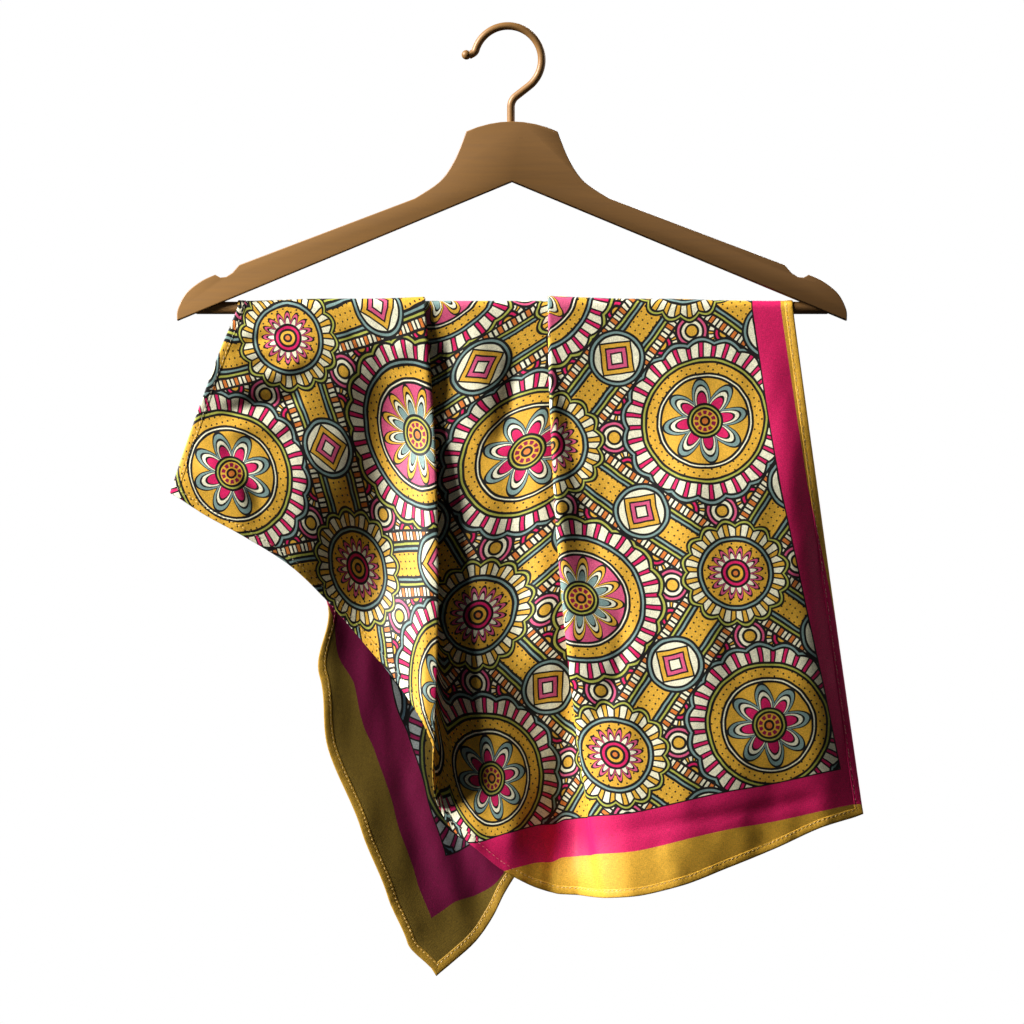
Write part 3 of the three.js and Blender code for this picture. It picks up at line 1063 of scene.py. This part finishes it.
def paintRosette(tree, base, ribbon, ca, cb, other):
    far = reach(tree, ca, cb)
    angle = calc(tree, "ARCTAN2", cb, ca)
    scallop = calc(tree, "MULTIPLY_ADD", petals(tree, angle, 18), 3.0, 53.0)
    rimEdge = minus(tree, far, scallop)
    rims = [paint(tree, *pair, other) for pair in (("teal", "olive"), ("olive", "teal"))]
    rays = spread(tree, far, angle, 36, 0.34, "cream", "magenta")
    base = layered(tree, base, rimEdge, ((0.001, rims[0]), (-3.0, rays)))
    base = layered(tree, base, far, ((42.0, rims[1]), (39.2, ribbon), (31.6, "cream"),
                                     (29.2, paint(tree, "mustard", "pink", other))))
    leaf = paint(tree, petals(tree, angle, 8), petals(tree, angle, 12), other)
    edge = minus(tree, far, calc(tree, "MULTIPLY_ADD", leaf, 13.0, 15.0))
    base = layered(tree, base, edge, ((0.001, paint(tree, "teal", "mustard", other)),
                                      (-4.4, "cream"),
                                      (-8.6, paint(tree, "magenta", "teal", other))))
    base = layered(tree, base, far, ((11.2, "olive"), (8.6, "mustard")))
    seeds = times(tree, petals(tree, angle, 10), stroke(tree, far, 5.8, 1.3))
    base = paint(tree, base, "wine", above(tree, seeds, 0.5))
    return layered(tree, base, far, ((2.8, "orange"),))


def paintCorners(tree, base, ca, cb):
    x = minus(tree, absolute(tree, ca), 43.0)
    y = minus(tree, absolute(tree, cb), 43.0)
    return layered(tree, base, reach(tree, x, y), ((10.6, "pink"), (7.6, "cream"),
                                                   (4.2, "mustard")))


def paintCrossings(tree, base, ribbon, ga, gb):
    far = reach(tree, ga, gb)
    angle = calc(tree, "ARCTAN2", gb, ga)
    wheel = petals(tree, angle, 16)
    rimEdge = minus(tree, far, calc(tree, "MULTIPLY_ADD", wheel, 3.4, 33.0))
    tabs = spread(tree, far, angle, 24, 0.42, "cream", "mustard")
    base = layered(tree, base, rimEdge, ((0.001, "olive"), (-2.8, tabs)))
    base = layered(tree, base, far, ((24.6, "teal"), (21.8, ribbon)))
    edge = minus(tree, far, calc(tree, "MULTIPLY_ADD", wheel, 7.0, 11.0))
    base = layered(tree, base, edge, ((0.001, "pink"), (-3.6, "cream")))
    return layered(tree, base, far, ((9.0, "magenta"), (5.8, "mustard"), (2.4, "orange")))


def paintMiddles(tree, base, away, along):
    far = reach(tree, away, along)
    base = layered(tree, base, far, ((18.4, "teal"), (15.4, "cream")))
    diamond = calc(tree, "ADD", away, along)
    return layered(tree, base, diamond, ((14.4, "mustard"), (9.6, "pink"), (5.0, "cream")))


def makePrint():
    tree, given, out = newGroup("silkPrint", (("Place", "NodeSocketVector"),),
                                (("Colour", "NodeSocketColor"),))
    place = given.outputs["Place"]
    drawn = noiseNode(tree, place, square["wobbleScale"], 1.5)
    shift = vectorCalc(tree, "SUBTRACT", drawn.outputs["Color"], (0.5, 0.5, 0.5))
    moved = vectorCalc(tree, "ADD", place, vectorCalc(tree, "SCALE", shift, square["wobble"]))
    a, b, ca, cb, ga, gb, away, along, other = makeTrellis(tree, *separate(tree, moved)[:2])
    ribbon = dotted(tree, a, b, "mustard", "black", 4.2, 0.62)
    ground = dotted(tree, a, b, "magenta", "black", 5.2, 0.8)
    tone = paintScallops(tree, ground, away, along, other)
    tone = paintCorners(tree, tone, ca, cb)
    tone = paintRosette(tree, tone, ribbon, ca, cb, other)
    tone = paintBands(tree, tone, ribbon, away, along)
    tone = paintMiddles(tree, tone, away, along)
    tone = paintCrossings(tree, tone, ribbon, ga, gb)
    p, q = separate(tree, place)[:2]
    inField = calc(tree, "MINIMUM", inside(tree, p, square["fieldLeft"], square["fieldRight"]),
                   inside(tree, q, square["fieldFront"], square["fieldBack"]))
    tone = paint(tree, tone, "black", below(tree, inField, 0.9))
    tone = paint(tree, tone, "magenta", below(tree, inField, 0))
    near, far = square["bandEdge"], drape["side"] - square["bandEdge"]
    inBand = calc(tree, "MINIMUM", inside(tree, p, near, far), inside(tree, q, near, far))
    tone = paint(tree, tone, "mustard", below(tree, inBand, 0))
    put(tree, tone, out.inputs["Colour"])
    print("print:", len(tree.nodes), "nodes")
    return tree


def makeWeave():
    tree, given, out = newGroup("silkWeave", (("Place", "NodeSocketVector"),),
                                (("Height", "NodeSocketFloat"), ("Slub", "NodeSocketFloat")))
    place = given.outputs["Place"]
    warp, weft = (noiseNode(tree, vectorCalc(tree, "MULTIPLY", place, size), 1.0).outputs[0]
                  for size in ((2.6, 0.35, 1), (0.35, 2.6, 1)))
    grain = noiseNode(tree, place, 1.6, 1.0).outputs[0]
    height = calc(tree, "ADD", calc(tree, "ADD", warp, weft), grain)
    put(tree, height, out.inputs["Height"])
    put(tree, ramp(tree, height, 1.1, 1.9), out.inputs["Slub"])
    return tree


silk = {
    "roughness": 0.5,
    "sheen": 0.04,
    "sheenRoughness": 0.35,
    "specular": 0.3,
    "weaveStrength": 0.6,
    "weaveDepth": 0.12,
    "grain": 0.42,
    # painted shade: darker, cooler tints multiplied into the print on the wrong side and on the hems'
    # inner face
    "wrongSidePaintedShade": (0.26, 0.3, 0.4),
    "hemInsidePaintedShade": (0.6, 0.62, 0.66),
}


def mapPlace(tree):
    uv = tree.nodes.new("ShaderNodeUVMap")
    uv.uv_map = "printMap"
    return vectorCalc(tree, "SCALE", uv.outputs[0], 1 / mm)


def silkMaterial(name, printGroup, weaveGroup, paintedShadeTint):
    material, tree, surface = newMaterial(name)
    place = mapPlace(tree)
    printed = useGroup(tree, printGroup, Place=place).outputs["Colour"]
    weave = useGroup(tree, weaveGroup, Place=place)
    slub = ramp(tree, weave.outputs["Slub"], 0, 1, 1 - silk["grain"], 1 + silk["grain"] * 0.4)
    shade = vectorCalc(tree, "SCALE", printed, slub)
    # painted shade, when given, is multiplied into the print's colour
    if paintedShadeTint:
        shade = vectorCalc(tree, "MULTIPLY", shade, paintedShadeTint)
    put(tree, shade, surface.inputs["Base Color"])
    rough = ramp(tree, weave.outputs["Slub"], 0, 1, silk["roughness"] + 0.07, silk["roughness"] - 0.05)
    put(tree, rough, surface.inputs["Roughness"])
    put(tree, bumpNode(tree, weave.outputs["Height"], silk["weaveStrength"], silk["weaveDepth"] * mm),
        surface.inputs["Normal"])
    surface.inputs["Sheen Weight"].default_value = silk["sheen"]
    surface.inputs["Sheen Roughness"].default_value = silk["sheenRoughness"]
    surface.inputs["Specular IOR Level"].default_value = silk["specular"]
    return material


printGroup, weaveGroup = makePrint(), makeWeave()
faceSilk = silkMaterial("silkFace", printGroup, weaveGroup, None)
# the wrong side and the hems' inner face carry painted shade
shadedWrongSilk = silkMaterial("silkWrongSidePaintedShade", printGroup, weaveGroup, silk["wrongSidePaintedShade"])
hemSilk = silkMaterial("silkHem", printGroup, weaveGroup, None)
shadedHemInsideSilk = silkMaterial("silkHemInsidePaintedShade", printGroup, weaveGroup, silk["hemInsidePaintedShade"])
scarf.data.materials[0] = faceSilk
scarf.data.materials[1] = shadedWrongSilk
for strip in hemPieces:
    strip.data.materials[0] = hemSilk
    strip.data.materials[1] = shadedHemInsideSilk


def threadMaterial():
    material, tree, surface = newMaterial("hemThread")
    coordinates = objectPlace(tree)
    twist = noiseNode(tree, coordinates, 900, 1.0)
    printed = useGroup(tree, printGroup, Place=mapPlace(tree)).outputs["Colour"]
    paler = paint(tree, printed, colour(255, 238, 196), 0.6)
    put(tree, paint(tree, printed, paler, twist.outputs[0]), surface.inputs["Base Color"])
    surface.inputs["Roughness"].default_value = 0.4
    return material


stitches.data.materials.append(threadMaterial())

wood = {
    # painted light and shade: the lit tone at the board's left tip, the shaded tone at its right tip
    "light": colour(152, 110, 60),
    "dark": colour(112, 78, 40),
    "roughness": 0.42,
    "grainScale": 26,
    "halfSpan": 0.22,     # painted light: the board is painted lighter at its left tip and darker at its right one, as lit from the left
}


def woodMaterial():
    material, tree, surface = newMaterial("lacqueredWood")
    coordinates = objectPlace(tree)
    # painted light: lighter at the left tip, darker towards the right one
    fall = ramp(tree, separate(tree, coordinates)[0], -wood["halfSpan"], wood["halfSpan"])
    base = paint(tree, wood["light"], wood["dark"], fall)
    stretched = vectorCalc(tree, "MULTIPLY", coordinates, (1, 6, 14))
    grain = noiseNode(tree, stretched, wood["grainScale"], 6.0, 0.6)
    streaks = ramp(tree, grain.outputs[0], 0.3, 0.7, 0.9, 1.06)
    put(tree, vectorCalc(tree, "SCALE", base, streaks), surface.inputs["Base Color"])
    rough = ramp(tree, grain.outputs[0], 0.3, 0.7, wood["roughness"] + 0.06, wood["roughness"] - 0.04)
    put(tree, rough, surface.inputs["Roughness"])
    put(tree, bumpNode(tree, grain.outputs[0], 0.06, 0.3 * mm), surface.inputs["Normal"])
    return material


woodFinish = woodMaterial()
for piece in (boardPiece, barPiece):
    piece.data.materials.append(woodFinish)


hookPaint = {
    "dark": colour(126, 88, 42),
    "light": colour(150, 108, 58),
    "speckle": 420,
    "metallic": 0.1,
    "roughness": 0.48,
}


def hookMaterial():
    material, tree, surface = newMaterial("paintedHook")
    coordinates = objectPlace(tree)
    speckle = noiseNode(tree, coordinates, hookPaint["speckle"], 3.0)
    put(tree, paint(tree, hookPaint["dark"], hookPaint["light"], speckle.outputs[0]),
        surface.inputs["Base Color"])
    surface.inputs["Metallic"].default_value = hookPaint["metallic"]
    rough = ramp(tree, speckle.outputs[0], 0.3, 0.7, hookPaint["roughness"] + 0.04,
                 hookPaint["roughness"] - 0.04)
    put(tree, rough, surface.inputs["Roughness"])
    put(tree, bumpNode(tree, speckle.outputs[0], 0.05, 0.2 * mm), surface.inputs["Normal"])
    return material


hookPiece.data.materials.append(hookMaterial())


# A plain pale floor below the hanging scarf, a soft key light from the upper left, and dim ones

studio = {
    "floorZ": -0.76,
    "floorRadius": 6.0,
    "fadeFrom": 0.4,
    "fadeTo": 1.1,
    "world": 1.0,
    "worldFill": 0.025,
}


def addFloor():
    bpy.ops.object.select_all(action="DESELECT")
    bpy.ops.mesh.primitive_circle_add(vertices=96, radius=studio["floorRadius"], fill_type="NGON",
                                      location=(0, 0, studio["floorZ"]))
    floor = bpy.context.object
    floor.name = "floor"
    applyAll(floor)
    material, tree, surface = newMaterial("paleFloor")
    coordinates = objectPlace(tree)
    flat = vectorCalc(tree, "MULTIPLY", coordinates, (1, 1, 0))
    length = tree.nodes.new("ShaderNodeVectorMath")
    length.operation = "LENGTH"
    put(tree, flat, length.inputs[0])
    put(tree, ramp(tree, length.outputs["Value"], studio["fadeFrom"], studio["fadeTo"], 1, 0),
        surface.inputs["Alpha"])
    surface.inputs["Base Color"].default_value = (0.95, 0.95, 0.95, 1)
    surface.inputs["Roughness"].default_value = 0.9
    floor.data.materials.append(material)
    floor.visible_diffuse = False  # the floor throws no light up at the cloth
    floor.visible_glossy = False


def addLight(name, place, aimZ, size, power):
    bpy.ops.object.light_add(type="AREA", location=place)
    light = bpy.context.object
    light.name = name
    light.data.shape = "DISK"
    light.data.size = size
    light.data.energy = power
    turn = (Vector(place) - Vector((0, 0, aimZ))).to_track_quat("Z", "Y")
    light.rotation_euler = turn.to_euler()


def addWorld():
    world = bpy.data.worlds.new("studio")
    world.use_nodes = True
    bpy.context.scene.world = world
    tree = world.node_tree
    background = tree.nodes["Background"]
    path = tree.nodes.new("ShaderNodeLightPath")
    strength = ramp(tree, path.outputs["Is Camera Ray"], 0, 1, studio["worldFill"], studio["world"])
    put(tree, strength, background.inputs["Strength"])
    background.inputs["Color"].default_value = (1, 1, 1, 1)


addFloor()
addLight("key", (-4.35, -1.33, 2.4), -0.35, 2.1, 960)
addLight("front", (0.2, -3.0, 0.9), -0.35, 1.4, 1.6)
addLight("rear", (1.2, 2.4, 1.2), -0.3, 1.6, 90)
addLight("side", (2.8, 0.9, 0.5), -0.3, 1.6, 26)
addWorld()
bpy.context.scene.view_settings.view_transform = "Standard"
bpy.context.scene.view_settings.look = "None"
print("studio ready")
